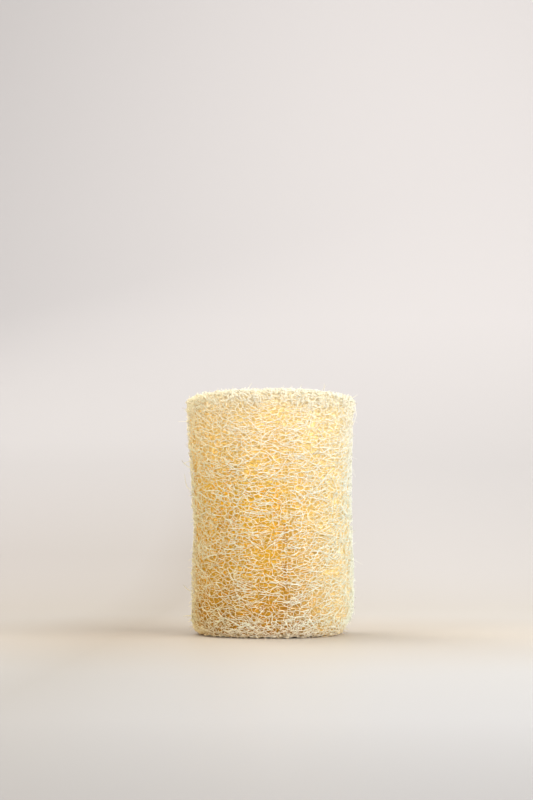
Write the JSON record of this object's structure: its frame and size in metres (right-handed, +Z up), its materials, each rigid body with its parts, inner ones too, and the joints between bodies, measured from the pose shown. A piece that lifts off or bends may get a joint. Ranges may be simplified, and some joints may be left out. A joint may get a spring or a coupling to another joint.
{
  "type": "natural loofah sponge",
  "caption": "Short length of dried loofah gourd skeleton cut for use as a bath sponge: a slightly waisted round body of matted fibres with open seed channels.",
  "frame": {"origin": "middle of the base, on the surface that the sponge stands on", "axes": "+Z up along the sponge's length, from one cut end to the other; -Y towards the viewer, the side pictured; +X to the viewer's right"},
  "size_m": [0.09, 0.0848, 0.125],
  "materials": {
    "fibre": "dry matt plant fibre, cream outside and orange straw in the gaps"
  },
  "bodies": {
    "root": {"loofah_sponge": "fibre"}
  },
  "joints": []
}
